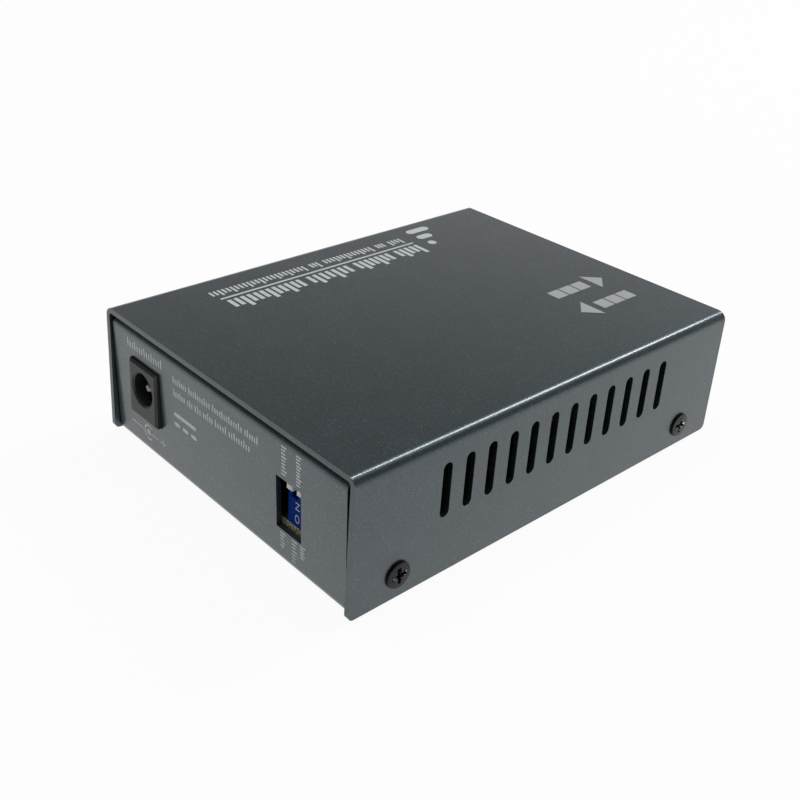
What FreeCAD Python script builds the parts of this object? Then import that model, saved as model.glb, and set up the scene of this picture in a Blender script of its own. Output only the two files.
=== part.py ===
import FreeCAD, Part
import math
import os

# Compact fibre media converter: a folded steel cover over a folded steel tray, with one circuit
# board inside that carries every connector, the slide switch and the electronics.
# Millimetres. X runs across the box, Y from the rear panel (power and switch) to the front panel
# (network ports), Z is up. The origin is the middle of the tray's underside.

V = FreeCAD.Vector

# ---- Housing -----------------------------------------------------------------------------
box_width = 70.3              # over the cover's two side walls
box_depth = 94.0              # cover, rear edge to front edge
box_height = 26.2             # tray's underside to the cover's top
sheet = 1.0                   # steel sheet of cover and tray
cover_inside_bend = 0.8       # inside radius of the cover's two long bends
cover_lift = 0.4              # the cover's lower edges stop this far above the tray's underside
cover_corner = 1.1            # radius of the side walls' lower corners

# ---- Vent slots in both side walls -------------------------------------------------------
vent_count = 12
vent_pitch = 5.07
vent_width = 2.0
vent_length = 10.2
vent_top_margin = 4.5         # top of the slots to the cover's top
vent_end_flats = 6            # flats that round each end of a slot

# ---- Tray --------------------------------------------------------------------------------
tray_inside_bend = 0.6
cover_fit = 0.1               # side flange to the cover's side wall
panel_left_gap = 0.35         # end panels to the cover's side walls, seen from the rear
panel_right_gap = 1.05
panel_top_gap = 0.6           # top flanges to the underside of the cover
rear_recess = 1.2             # rear panel's foot, in from the cover's rear edge
rear_lean = 2.0               # degrees by which the rear panel springs outwards
front_recess = 0.6
top_flange = 6.0              # length of the end panels' inward top flanges
side_flange_height = 9.0
side_flange_relief = 4.0      # side flanges stop this far from the cover's ends
window_play = 0.2             # panel cut-outs, all round the part that comes through

# ---- Cover screws, M3 with a low domed cross head ----------------------------------------
screw_thread = 3.0
thread_play = 0.05            # radial, screw in its tapped hole
hole_play = 0.2               # radial, screw in a clearance hole
cover_screw_inset = 9.8       # from the cover's ends
cover_screw_height = 4.8      # above the tray's underside
cover_screw_length = 3.8
cover_head_width = 5.2
cover_head_rim = 0.3
cover_head_dome = 0.35
cover_head_bevel = 0.8        # how far the raised top is in from the rim
cover_recess_depth = 0.9
recess_share = 0.54           # width of a cross recess, as a part of its head
collar_width = 4.6            # extruded collar that takes the thread
collar_depth = 1.0

# ---- Circuit board and what holds it -----------------------------------------------------
board_thickness = 1.6
board_edge_gap = 0.25         # board to the end panels
board_side_gap = 2.4          # board to the side flanges
board_corner = 0.8            # cut across the board's corners
port_headroom = 2.38          # copper port to the end panels' top flanges: this sets the board's level
standoff_width = 5.5          # across flats
standoff_foot = 4.2           # across flats of the narrower foot, clinched in the tray's floor
clinch_play = 0.02
board_screw_inset = 3.15      # from the board's long edges
rear_screw_inset = 16.7       # from the board's rear edge
front_screw_inset = 12.1      # from the board's front edge
board_screw_gap = 1.8         # screw's tip to the bottom of its hole
board_head_width = 5.2
board_head_height = 1.6
board_recess_depth = 1.0
seat_gap = 0.02               # parts that stand on the board
lead_play = 0.1               # radial, leads in the board's holes
lead_below = 1.2              # leads come this far through the board

# ---- Power jack (rear) -------------------------------------------------------------------
jack_inset = 7.65             # jack's middle to the board's left edge
jack_width = 9.0
jack_height = 11.0
jack_length = 14.4
jack_flange = 3.4             # full rectangular section at the mouth
jack_barrel = 8.2             # width of the round part behind it
jack_proud = 0.25             # mouth stands out from the cover's rear edge
jack_chamfer = 0.4
jack_lip = 0.35               # bevel round the bore
jack_tab_back = 0.4           # middle of the pin's tab, in from the jack's back
jack_axis_height = 6.2        # bore above the board
jack_bore = 6.3
jack_bore_depth = 10.0
jack_pin_width = 2.0
jack_pin_nose = 0.4
jack_pin_setback = 1.2        # pin's tip behind the mouth
spring_thickness = 0.3
spring_width = 1.8
spring_bow = 0.9              # free end of the leaf, up into the bore
spring_reach = 5.4            # leaf's free end in front of its tab
spring_rise = 1.2             # run of the bow's front slope
spring_fall = 2.2             # and of its rear slope
spring_flat = 0.8             # flat run between the bow and the tab
spring_tab_back = 7.9         # tab behind the mouth
groove_start = 2.0            # groove for the leaf, behind the mouth

# ---- Slide switch (rear) -----------------------------------------------------------------
switch_inset = 10.65          # switch's middle to the board's right edge
switch_width = 6.2
switch_height = 10.6
switch_depth = 4.6
slider_pitch = 2.54
slider_size = 1.4             # square end of each slider
slider_proud = 1.3            # beyond the switch's face
slider_travel = 2.0
slider_play = 0.08
slot_top_margin = 1.9         # top of the slots to the top of the switch
switch_wall = 0.7             # face wall with the slots
carriage_width = 2.1          # wide part of the slider behind the face wall
carriage_depth = 1.0
carriage_extra = 0.35         # carriage beyond the knob, above and below
switch_lead = 0.5             # square leads
switch_lead_row = 2.54        # between the two rows, the rear one under the switch's back
switch_lead_seat = 1.4        # leads reach this far up into the switch
switch_corner = 0.25
slider_corner = 0.25
window_shift = 1.0            # switch window's middle, from the switch towards the jack
switch_window_width = 6.35
switch_window_drop = 1.1      # window's lower edge below the board's top
switch_window_rise = 8.8      # and its upper edge above it

# ---- Copper network port (front) ---------------------------------------------------------
port_proud = 0.25             # both ports' mouths beyond the cover's front edge
copper_inset = 14.2           # port's middle to the board's left edge
copper_width = 16.0
copper_height = 13.4
copper_length = 21.3
shield_sheet = 0.25
copper_fit = 0.05             # moulding inside its shield
shield_tab = 1.8              # the shield's two tabs, soldered in the board
shield_tab_back = 11.1        # tabs behind the mouth
plug_width = 12.0
plug_height = 6.9
plug_depth = 14.0
plug_floor = 3.9              # plug's underside above the board
latch_width = 6.4
latch_height = 2.3
catch_depth = 0.8             # narrow step under the latch's channel
channel_setback = 2.0         # channel's back end, in front of the cavity's
contact_setback = 2.4         # front end of the contacts' grooves behind the mouth
contact_bend = 0.6
mouth_frame = 0.15            # moulding's front face behind the shield's
shield_play = 0.2             # shield's cut-out round the plug's cavity
contact_count = 8
contact_pitch = 1.016
contact_wire = 0.36
contact_drop = 2.1            # free ends below the cavity's ceiling
groove_play = 0.06
bow_reach = 0.35              # spring bows of the shield stand out this far
bow_length = 4.0
bow_width = 1.8
bow_back = 9.0                # rear end of the bows behind the mouth
bow_levels = (3.4, 8.2)       # lower edges above the board

# ---- Slot for a pluggable fibre module (front) -------------------------------------------
cage_x = 2.6
cage_inside_width = 14.0
cage_inside_height = 8.95
cage_sheet = 0.25
cage_mouth_depth = 36.0       # mouth to the connector inside
cage_back_room = 3.5          # connector to the cage's back wall
cage_finger_width = 2.4
cage_finger_length = 2.0
cage_finger_bulge = 0.45
latch_hole = 3.2              # width and depth of the triangular hole for the module's latch
latch_hole_back = 9.6
module_connector_width = 12.6
module_connector_height = 5.6
module_connector_depth = 9.2
card_slot_height = 1.2
card_slot_width = 10.6
card_slot_depth = 5.0
card_slot_level = 3.1         # slot's lower edge above the board
connector_step = 2.2          # depth and height of the step over the cage's floor
connector_step_height = 1.15

# ---- Indicators (front) ------------------------------------------------------------------
led_inset = 6.1               # middle of the columns to the board's right edge
led_columns = 2
led_pitch = 5.08
led_width = 3.0
led_proud = 0.5               # lamps beyond the front panel
led_rows = (3.4, 7.8)         # above the board
holder_width = 4.8
holder_height = 10.4
holder_depth = 6.5

# ---- Converting electronics, set out from the fibre slot's back and the board's right edge --
chip_inset = 9.25
chip_forward = 9.45           # chip's middle in front of the slot's back
chip_size = 14.0
chip_height = 1.0
mould_bevel = 0.2             # round the top of moulded packages
sink_base = 1.6
sink_height = 8.0
sink_fins = 7
sink_fin_thickness = 0.8
memory_forward = 26.5
memory_width, memory_depth, memory_height = 3.9, 4.9, 1.6
memory_lead_count = 4         # on each side
crystal_behind = 7.0
crystal_length, crystal_width, crystal_height = 11.0, 4.6, 3.5
crystal_flange, crystal_flange_height = 0.3, 0.5
crystal_corner = 1.5
lead_reach = 1.0              # leads stand out from the body by this
lead_section = 0.3
lead_root = 0.3               # and into it
lead_pitch = 1.27
body_lift = 0.1               # package with leads, above the board

# ---- Copper side: line transformer behind its port ---------------------------------------
lan_gap = 0.75
lan_width, lan_length, lan_height = 12.2, 17.6, 5.9
lan_lead_count = 8

# ---- Power section, set out from the board's rear edge -----------------------------------
feed_chip_inset, feed_chip_y = 11.05, 16.7
feed_chip_width, feed_chip_length, feed_chip_height = 7.5, 10.3, 2.3
feed_lead_count = 8
fuse_x, fuse_y = -17.0, 18.7
fuse_body, fuse_length = 2.4, 7.5
fuse_cap, fuse_cap_length = 2.7, 1.4
choke_x, choke_y = -9.5, 19.7
choke_width = 10.0
choke_hole = 4.4
choke_height = 5.0
capacitor_places = ((-9.5, 6.7), (2.0, 6.7))
capacitor_width = 10.0
capacitor_height = 14.0
transformer_x, transformer_y = 3.5, 24.2
transformer_size = 13.0
transformer_height = 11.5
bobbin_base = 2.4
core_top = 2.5                # core's top plate
drum_width = 8.0
drum_play = 0.4               # winding drum inside the core
core_side_step, core_end_step = 0.4, 1.5
transistor_x, transistor_y = -18.5, 33.2
transistor_width, transistor_length, transistor_height = 6.5, 6.1, 2.3
transistor_tab, transistor_tab_length, tab_thickness = 5.2, 1.3, 0.5
transistor_leg, transistor_leg_length, transistor_leg_pitch = 0.8, 2.2, 4.6
inductor_x, inductor_y = -9.2, 32.7
inductor_size = 8.0
inductor_height = 4.2
inductor_corner = 1.4
inductor_drum, inductor_drum_height = 5.8, 0.3
ceramic_width, ceramic_length, ceramic_height = 1.3, 2.0, 1.0
ceramic_gap = 1.5             # ceramic capacitors to the larger part that they serve
ceramic_pitch = 4.0

# ---- Levels and faces that several pieces share ------------------------------------------
cover_inner = box_width / 2 - sheet                   # half width inside the cover
panel_left = panel_left_gap - cover_inner
panel_width = 2 * cover_inner - panel_left_gap - panel_right_gap
flange_outer = cover_inner - cover_fit
flange_inner = flange_outer - sheet
rear_edge = -box_depth / 2
front_edge = box_depth / 2
panel_top = box_height - sheet - panel_top_gap
lean = math.tan(math.radians(rear_lean))
seat = panel_top - sheet - port_headroom - copper_height
board_top = seat - seat_gap
board_low = board_top - board_thickness
standoff_height = board_low - sheet
front_face = front_edge - front_recess                # outer face of the front panel


def rear_face(height):
    """Y of the rear panel's outer face at a height above the tray's underside."""
    return rear_edge + rear_recess - lean * height


rear_inside = rear_face(board_low) + sheet / math.cos(math.radians(rear_lean))
board_rear = rear_inside + board_edge_gap
board_front = front_face - sheet - board_edge_gap
board_half = flange_inner - board_side_gap
port_mouth = front_edge + port_proud
jack_mouth = rear_edge - jack_proud
jack_x = jack_inset - board_half
copper_x = copper_inset - board_half
switch_x = board_half - switch_inset


# ---- Geometry helpers --------------------------------------------------------------------
def block(x0, x1, y0, y1, z0, z1):
    return Part.makeBox(x1 - x0, y1 - y0, z1 - z0, V(x0, y0, z0))


def centred(x, width, y0, y1, z0, z1):
    return block(x - width / 2, x + width / 2, y0, y1, z0, z1)


def rod(width, start, direction, length):
    return Part.makeCylinder(width / 2, length, V(*start), V(*direction))


def across(u, w):
    """Profile point in the XZ plane."""
    return V(u, 0, w)


def along(u, w):
    """Profile point in the YZ plane."""
    return V(0, u, w)


def flat(u, w):
    """Profile point in the XY plane."""
    return V(u, w, 0)


def unit(a, b):
    length = math.hypot(b[0] - a[0], b[1] - a[1])
    return (b[0] - a[0]) / length, (b[1] - a[1]) / length


def rounded_edges(points, radius, place):
    """Edges of an open path whose inner corners are arcs of one radius."""
    edges = []
    last = points[0]
    for before, corner, after in zip(points, points[1:], points[2:]):
        back, ahead = unit(corner, before), unit(corner, after)
        half = math.acos(back[0] * ahead[0] + back[1] * ahead[1]) / 2
        run = radius / math.tan(half)
        start = (corner[0] + back[0] * run, corner[1] + back[1] * run)
        end = (corner[0] + ahead[0] * run, corner[1] + ahead[1] * run)
        inward = unit((0, 0), (back[0] + ahead[0], back[1] + ahead[1]))
        reach = radius / math.sin(half) - radius
        middle = (corner[0] + inward[0] * reach, corner[1] + inward[1] * reach)
        edges.append(Part.makeLine(place(*last), place(*start)))
        edges.append(Part.Arc(place(*start), place(*middle), place(*end)).toShape())
        last = end
    edges.append(Part.makeLine(place(*last), place(*points[-1])))
    return edges


def inset_path(points, thickness):
    """The path moved to its right-hand side, its ends moved square to their lines."""
    lines = []
    for a, b in zip(points, points[1:]):
        d = unit(a, b)
        lines.append(((a[0] + d[1] * thickness, a[1] - d[0] * thickness), d))
    inner = [lines[0][0]]
    for (p, d), (q, e) in zip(lines, lines[1:]):
        step = ((q[0] - p[0]) * e[1] - (q[1] - p[1]) * e[0]) / (d[0] * e[1] - d[1] * e[0])
        inner.append((p[0] + d[0] * step, p[1] + d[1] * step))
    d = lines[-1][1]
    inner.append((points[-1][0] + d[1] * thickness, points[-1][1] - d[0] * thickness))
    return inner


def folded(points, thickness, inside_bend, place, start, run):
    """A sheet folded along the path of its outer face, with the sheet on the path's right."""
    outer = rounded_edges(points, inside_bend + thickness, place)
    inner_points = inset_path(points, thickness)
    inner = rounded_edges(inner_points, inside_bend, place)
    caps = [Part.makeLine(place(*points[-1]), place(*inner_points[-1])),
            Part.makeLine(place(*inner_points[0]), place(*points[0]))]
    wire = Part.Wire(Part.__sortEdges__(outer + caps + inner))
    profile = Part.Face(wire)
    profile.translate(start)
    return profile.extrude(run)


def prism(points, place, start, run):
    """A straight prism on a closed outline."""
    corners = [place(*p) for p in points]
    profile = Part.Face(Part.makePolygon(corners + corners[:1]))
    profile.translate(start)
    return profile.extrude(run)


def slot_along_x(y, low, high, width, x0, x1):
    """An upright slot along X whose round ends are made of a few flats each."""
    radius = width / 2
    turns = [math.pi * i / vent_end_flats for i in range(vent_end_flats + 1)]
    upper = [(y + radius * math.cos(a), high - radius + radius * math.sin(a)) for a in turns]
    lower = [(y - radius * math.cos(a), low + radius - radius * math.sin(a)) for a in turns]
    return prism(upper + lower, along, V(x0, 0, 0), V(x1 - x0, 0, 0))


def hexagon(across_flats, x, y, low, high):
    """Upright hexagon bar with two corners on the X side and two opposite them."""
    corner = across_flats / math.sqrt(3)
    outline = [(x + corner * math.cos(math.radians(60 * i)),
                y + corner * math.sin(math.radians(60 * i))) for i in range(6)]
    return prism(outline, flat, V(0, 0, low), V(0, 0, high - low))


def upright_edges(shape, height):
    return [e for e in shape.Edges if e.BoundBox.ZLength > height / 2]


def level_edges(shape, level):
    """Edges that lie wholly at one height."""
    return [e for e in shape.Edges if e.BoundBox.ZMin > level - 1e-3]


def centred_row(count, pitch):
    """Places of a row about its middle."""
    return [pitch * (i - (count - 1) / 2) for i in range(count)]


# ---- Cover -------------------------------------------------------------------------------
def cover_screw_places():
    return [rear_edge + cover_screw_inset, front_edge - cover_screw_inset]


def make_cover():
    """Top and both side walls, folded from one sheet, slotted, with rounded lower corners."""
    half = box_width / 2
    path = [(-half, cover_lift), (-half, box_height), (half, box_height), (half, cover_lift)]
    shell = folded(path, sheet, cover_inside_bend, across, V(0, rear_edge, 0), V(0, box_depth, 0))
    side = block(-half, half, rear_edge, front_edge, cover_lift, box_height)
    foot = [e for e in side.Edges
            if abs(e.BoundBox.ZMax - cover_lift) < 1e-6 and e.BoundBox.XLength > box_width / 2]
    shell = shell.common(side.makeFillet(cover_corner, foot))
    vent_high = box_height - vent_top_margin
    cuts = [slot_along_x(y, vent_high - vent_length, vent_high, vent_width, -half - 1, half + 1)
            for y in centred_row(vent_count, vent_pitch)]
    cuts += [rod(screw_thread + 2 * hole_play, (-half - 1, y, cover_screw_height), (1, 0, 0),
                 box_width + 2) for y in cover_screw_places()]
    return shell.cut(cuts)


def cross_recess(tip, axis, width, depth):
    """Cutter for a cross recess: two crossed wedges that narrow towards the bottom."""
    wing = width / 6
    outline = [(-width / 2, 0.1), (width / 2, 0.1), (wing, -depth), (-wing, -depth)]
    first = prism(outline, across, V(0, -wing, 0), V(0, 2 * wing, 0))
    second = prism(outline, along, V(-wing, 0, 0), V(2 * wing, 0, 0))
    cutter = first.fuse(second)
    cutter.rotate(V(0, 0, 0), V(0, 0, 1), 45)
    turn = FreeCAD.Rotation(V(0, 0, 1), V(*axis))
    cutter.Placement = FreeCAD.Placement(V(*tip), turn).multiply(cutter.Placement)
    return cutter


def turned(outline):
    """Solid turned about Z from half of its section, given as radii and heights."""
    corners = [across(*p) for p in outline]
    return Part.Face(Part.makePolygon(corners + corners[:1])).revolve(V(0, 0, 0), V(0, 0, 1), 360)


def cover_screw(side, y):
    """Shank, low rim and raised top, turned as one, then the cross recess."""
    top = cover_head_rim + cover_head_dome
    head, shank = cover_head_width / 2, screw_thread / 2
    screw = turned([(0, -cover_screw_length), (shank, -cover_screw_length), (shank, 0), (head, 0),
                    (head, cover_head_rim), (head - cover_head_bevel, top), (0, top)])
    recess = cross_recess((0, 0, top), (0, 0, 1), recess_share * cover_head_width,
                          cover_recess_depth)
    screw = screw.cut(recess)
    place = V(side * box_width / 2, y, cover_screw_height)
    screw.Placement = FreeCAD.Placement(place, FreeCAD.Rotation(V(0, 0, 1), V(side, 0, 0)))
    return screw


def make_cover_screws():
    return [cover_screw(side, y) for side in (1, -1) for y in cover_screw_places()]


# ---- Tray --------------------------------------------------------------------------------
def standoff_places():
    x = board_half - board_screw_inset
    return [(side * x, y) for side in (1, -1)
            for y in (board_rear + rear_screw_inset, board_front - front_screw_inset)]


def tray_sheet():
    """Floor, end panels with top flanges, and side flanges with relief at the corners."""
    rear_foot, rear_head = rear_face(0), rear_face(panel_top)
    path = [(front_face - top_flange, panel_top), (front_face, panel_top), (front_face, 0),
            (rear_foot, 0), (rear_head, panel_top), (rear_head + top_flange, panel_top)]
    ends = folded(path, sheet, tray_inside_bend, along, V(panel_left, 0, 0),
                  V(panel_width, 0, 0))
    path = [(flange_outer, side_flange_height), (flange_outer, 0), (-flange_outer, 0),
            (-flange_outer, side_flange_height)]
    flange_half = box_depth / 2 - side_flange_relief
    sides = folded(path, sheet, tray_inside_bend, across, V(0, -flange_half, 0),
                   V(0, 2 * flange_half, 0))
    return ends.fuse(sides).removeSplitter()


def screw_collar(side, y):
    return rod(collar_width, (side * (flange_inner - collar_depth), y, cover_screw_height),
               (side, 0, 0), collar_depth + sheet / 2)


def rear_windows():
    """Cut-outs for the power jack and for reaching the slide switch."""
    reach = 3 * sheet
    near = rear_face(0) + reach
    far = rear_face(panel_top) - reach
    jack = centred(jack_x, jack_width + 2 * window_play, far, near, seat - window_play,
                   seat + jack_height + window_play)
    switch = centred(switch_x - window_shift, switch_window_width, far, near,
                     board_top - switch_window_drop, board_top + switch_window_rise)
    return [jack, switch]


def led_places():
    middle = board_half - led_inset
    return [(middle + x, board_top + row) for x in centred_row(led_columns, led_pitch)
            for row in led_rows]


def front_windows():
    """Cut-outs for both ports and the round holes of the indicators."""
    near, far = front_face - 3 * sheet, front_face + 3 * sheet
    copper = centred(copper_x, copper_width + 2 * window_play, near, far, seat - window_play,
                     seat + copper_height + window_play)
    around = cage_finger_bulge + cage_sheet + window_play
    cage = centred(cage_x, cage_inside_width + 2 * around, near, far,
                   seat + cage_sheet - around, seat + cage_sheet + cage_inside_height + around)
    lamps = [rod(led_width + 2 * window_play, (x, near, z), (0, 1, 0), far - near)
             for x, z in led_places()]
    return [copper, cage] + lamps


def make_base_tray():
    """The folded sheet with its threaded collars, its clinch holes and its windows."""
    tray = tray_sheet()
    collars = [screw_collar(side, y) for side in (1, -1) for y in cover_screw_places()]
    tray = tray.fuse(collars)
    tapped = screw_thread + 2 * thread_play
    cuts = [rod(tapped, (-box_width, y, cover_screw_height), (1, 0, 0), 2 * box_width)
            for y in cover_screw_places()]
    cuts += [hexagon(standoff_foot + 2 * clinch_play, x, y, -1, sheet + 1)
             for x, y in standoff_places()]
    return tray.cut(cuts + rear_windows() + front_windows())


# ---- Board, standoffs and board screws ---------------------------------------------------
def make_board_standoffs():
    """Hexagon standoffs, tapped, with a narrower foot clinched flush into the tray's floor."""
    standoffs = []
    for x, y in standoff_places():
        body = hexagon(standoff_width, x, y, sheet, board_low)
        foot = hexagon(standoff_foot, x, y, 0, sheet)
        bore = rod(screw_thread + 2 * thread_play, (x, y, sheet), (0, 0, 1), standoff_height + 1)
        standoffs.append(body.fuse(foot).removeSplitter().cut(bore))
    return standoffs


def make_board_screws():
    """Pan-head screws through the board into the standoffs."""
    screws = []
    for x, y in standoff_places():
        head = rod(board_head_width, (x, y, board_top), (0, 0, 1), board_head_height)
        tip = sheet + board_screw_gap
        shank = rod(screw_thread, (x, y, tip), (0, 0, 1), board_top - tip)
        recess = cross_recess((x, y, board_top + board_head_height), (0, 0, 1),
                              recess_share * board_head_width, board_recess_depth)
        screws.append(head.fuse(shank).removeSplitter().cut(recess))
    return screws


def switch_lead_places():
    return [(switch_x + x, board_rear + y) for x in centred_row(2, slider_pitch)
            for y in (switch_depth - switch_lead_row - switch_lead, switch_depth - switch_lead)]


def jack_lead_places():
    """Pin tab at the jack's back, spring tab under its barrel."""
    return [(jack_x, jack_mouth + jack_length - jack_tab_back),
            (jack_x, jack_mouth + spring_tab_back)]


def lead(x, y, width, depth, low, high, play=0.0):
    """Upright lead of rectangular section, or the hole for it when it is given play."""
    return block(x - width / 2 - play, x + width / 2 + play, y - depth / 2 - play,
                 y + depth / 2 + play, low, high)


def board_hole(x, y, width, depth):
    return lead(x, y, width, depth, board_low - 1, board_top + 1, lead_play)


def make_circuit_board():
    board = block(-board_half, board_half, board_rear, board_front, board_low, board_top)
    board = board.makeChamfer(board_corner, upright_edges(board, board_thickness))
    cuts = [rod(screw_thread + 2 * hole_play, (x, y, board_low - 1), (0, 0, 1),
                board_thickness + 2) for x, y in standoff_places()]
    cuts += [board_hole(x, y, switch_lead, switch_lead) for x, y in switch_lead_places()]
    cuts += [board_hole(x, y, spring_width, spring_thickness) for x, y in jack_lead_places()]
    cuts += [board_hole(x, y, shield_sheet, shield_tab) for x, y in shield_tab_places()]
    return board.cut(cuts)


# ---- Power jack --------------------------------------------------------------------------
jack_axis = seat + jack_axis_height


def make_power_jack_housing():
    """Square chamfered mouth, round-topped barrel behind it, and a blind bore."""
    back = jack_mouth + jack_length
    mouth = centred(jack_x, jack_width, jack_mouth, jack_mouth + jack_flange, seat,
                    seat + jack_height)
    front = [e for e in mouth.Edges if e.BoundBox.YMax < jack_mouth + 1e-3]
    mouth = mouth.makeChamfer(jack_chamfer, front)
    start = jack_mouth + jack_flange
    barrel = rod(jack_barrel, (jack_x, start, jack_axis), (0, 1, 0), jack_length - jack_flange)
    foot = centred(jack_x, jack_barrel, start, back, seat, jack_axis)
    bore = rod(jack_bore, (jack_x, jack_mouth - 1, jack_axis), (0, 1, 0), jack_bore_depth + 1)
    lip = Part.makeCone(jack_bore / 2 + jack_lip, jack_bore / 2, jack_lip,
                        V(jack_x, jack_mouth, jack_axis), V(0, 1, 0))
    housing = mouth.fuse([barrel, foot]).removeSplitter().cut([bore, lip])
    play = lead_play
    pin_hole = rod(jack_pin_width + 2 * play, (jack_x, jack_mouth, jack_axis), (0, 1, 0),
                   jack_length + 1)
    tab_y = jack_lead_places()[0][1]
    tab_slot = centred(jack_x, spring_width + 2 * play, tab_y - spring_thickness / 2 - play,
                       back + 1, seat - 1, jack_axis + jack_pin_width)
    return housing.cut([pin_hole, tab_slot, spring_groove()])


def spring_floor():
    """Upper face of the leaf contact where it lies in its groove."""
    return jack_axis - jack_bore / 2 - spring_thickness


def spring_groove():
    """Groove in the bore's floor, and the way down to the board, that the leaf contact lies in."""
    low = spring_floor() - spring_thickness - lead_play
    tab_y = jack_lead_places()[1][1]
    width = spring_width + 2 * lead_play
    groove = centred(jack_x, width, jack_mouth + groove_start, jack_mouth + jack_bore_depth, low,
                     jack_axis)
    way_down = lead(jack_x, tab_y, spring_width, spring_thickness, seat - 1, jack_axis, lead_play)
    return groove.fuse(way_down)


def make_power_jack_pin():
    """Centre pin with a bevelled nose, and the tab at its back that goes down through the board."""
    x, y = jack_lead_places()[0]
    tip = jack_mouth + jack_pin_setback
    pin = rod(jack_pin_width, (jack_x, tip, jack_axis), (0, 1, 0), y - tip)
    nose = [e for e in pin.Edges if e.BoundBox.YMax < tip + 1e-3]
    pin = pin.makeChamfer(jack_pin_nose, nose)
    tab = lead(x, y, spring_width, spring_thickness, board_low - lead_below, jack_axis)
    return pin.fuse(tab).removeSplitter()


def make_power_jack_spring():
    """Leaf contact: a strip folded down to its tab, with its free end bowed into the bore."""
    floor = spring_floor()
    x, tab_y = jack_lead_places()[1]
    fold = tab_y + spring_thickness / 2
    free_end = tab_y - spring_reach
    crest = free_end + spring_rise
    foot = tab_y - spring_flat
    strip = [(free_end, floor), (crest, floor + spring_bow), (foot - spring_fall, floor + spring_bow),
             (foot, floor), (fold, floor), (fold, board_low - lead_below)]
    inner = inset_path(strip, spring_thickness)
    outline = strip + inner[::-1]
    start = V(x - spring_width / 2, 0, 0)
    return prism(outline, along, start, V(spring_width, 0, 0))


# ---- Slide switch ------------------------------------------------------------------------
switch_face = board_rear
switch_top = seat + switch_height
slot_high = switch_top - slot_top_margin
slot_low = slot_high - slider_size - slider_travel - 2 * slider_play
knob_high = slot_high - slider_play


def slider_columns():
    return [switch_x + x for x in centred_row(2, slider_pitch)]


def make_dip_switch_body():
    """Moulded block with two slots in its face and the sliders' runways behind them."""
    body = centred(switch_x, switch_width, switch_face, switch_face + switch_depth, seat, switch_top)
    body = body.makeChamfer(switch_corner, upright_edges(body, switch_height))
    cuts = []
    for x in slider_columns():
        cuts.append(centred(x, slider_size + 2 * slider_play, switch_face - 1,
                            switch_face + switch_wall + slider_play, slot_low, slot_high))
        cuts.append(centred(x, carriage_width + 2 * slider_play, switch_face + switch_wall,
                            switch_face + switch_wall + carriage_depth + 2 * slider_play,
                            slot_low - carriage_extra, slot_high + carriage_extra))
    sockets = [lead(x, y, switch_lead, switch_lead, seat - 1, seat + switch_lead_seat + clinch_play,
                    clinch_play) for x, y in switch_lead_places()]
    return body.cut(cuts + sockets)


def dip_slider(x):
    """Square knob in the slot, with the wider carriage that keeps it in the switch."""
    knob_low = knob_high - slider_size
    start = switch_face + switch_wall + slider_play
    knob = centred(x, slider_size, switch_face - slider_proud, start, knob_low, knob_high)
    tip = [e for e in knob.Edges if e.BoundBox.YMax < switch_face - slider_proud + 1e-3]
    knob = knob.makeChamfer(slider_corner, tip)
    carriage = centred(x, carriage_width, start, start + carriage_depth,
                       knob_low - carriage_extra, knob_high + carriage_extra)
    return knob.fuse(carriage).removeSplitter()


def make_dip_switch_pins():
    return [lead(x, y, switch_lead, switch_lead, board_low - lead_below, seat + switch_lead_seat)
            for x, y in switch_lead_places()]


# ---- Copper network port -----------------------------------------------------------------
plug_low = seat + plug_floor
plug_high = plug_low + plug_height
contact_rear = port_mouth - plug_depth - 1.4


def contact_columns():
    return [copper_x + x for x in centred_row(contact_count, contact_pitch)]


def make_copper_port_housing():
    """Moulding with the plug's cavity, the latch's channel and a groove for each contact."""
    skin = shield_sheet + copper_fit
    back = port_mouth - copper_length + skin
    body = centred(copper_x, copper_width - 2 * skin, back, port_mouth - mouth_frame, seat,
                   seat + copper_height - skin)
    cavity = centred(copper_x, plug_width, port_mouth - plug_depth, port_mouth + 1, plug_low,
                     plug_high)
    channel_back = port_mouth - plug_depth + channel_setback
    channel = centred(copper_x, latch_width, channel_back, port_mouth + 1,
                      plug_low - latch_height, plug_low + 1)
    catch = centred(copper_x, latch_width / 2, channel_back, port_mouth + 1,
                    plug_low - latch_height - catch_depth, plug_low)
    width = contact_wire + 2 * groove_play
    grooves = [centred(x, width, contact_rear - groove_play, port_mouth - contact_setback,
                       plug_high - contact_wire / 2, plug_high + contact_wire + 2 * groove_play)
               for x in contact_columns()]
    return body.cut([cavity, channel, catch] + grooves)


def make_copper_port_contacts():
    """Spring wires: along the ceiling, round at the front, and back down to a free end."""
    high = plug_high + contact_wire + groove_play
    bend = port_mouth - contact_setback - contact_bend
    path = [(contact_rear, high), (bend, high), (bend - contact_bend, plug_high - contact_drop / 2),
            (port_mouth - plug_depth + channel_setback, plug_high - contact_drop + contact_wire)]
    outline = path + inset_path(path, contact_wire)[::-1]
    return [prism(outline, along, V(x - contact_wire / 2, 0, 0), V(contact_wire, 0, 0))
            for x in contact_columns()]


def shield_tab_places():
    x = (copper_width - shield_sheet) / 2
    return [(copper_x + side * x, port_mouth - shield_tab_back) for side in (1, -1)]


def shield_fingers():
    """Shallow spring bows pressed out of both side walls."""
    start = port_mouth - bow_back
    end, slope = start + bow_length, bow_length / 3
    fingers = []
    for side in (1, -1):
        wall = copper_x + side * copper_width / 2
        crest, root = wall + side * bow_reach, wall - side * shield_sheet / 2
        outline = [(root, start), (wall, start), (crest, start + slope), (crest, end - slope),
                   (wall, end), (root, end)]
        fingers += [prism(outline, flat, V(0, 0, seat + low), V(0, 0, bow_width))
                    for low in bow_levels]
    return fingers


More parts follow.
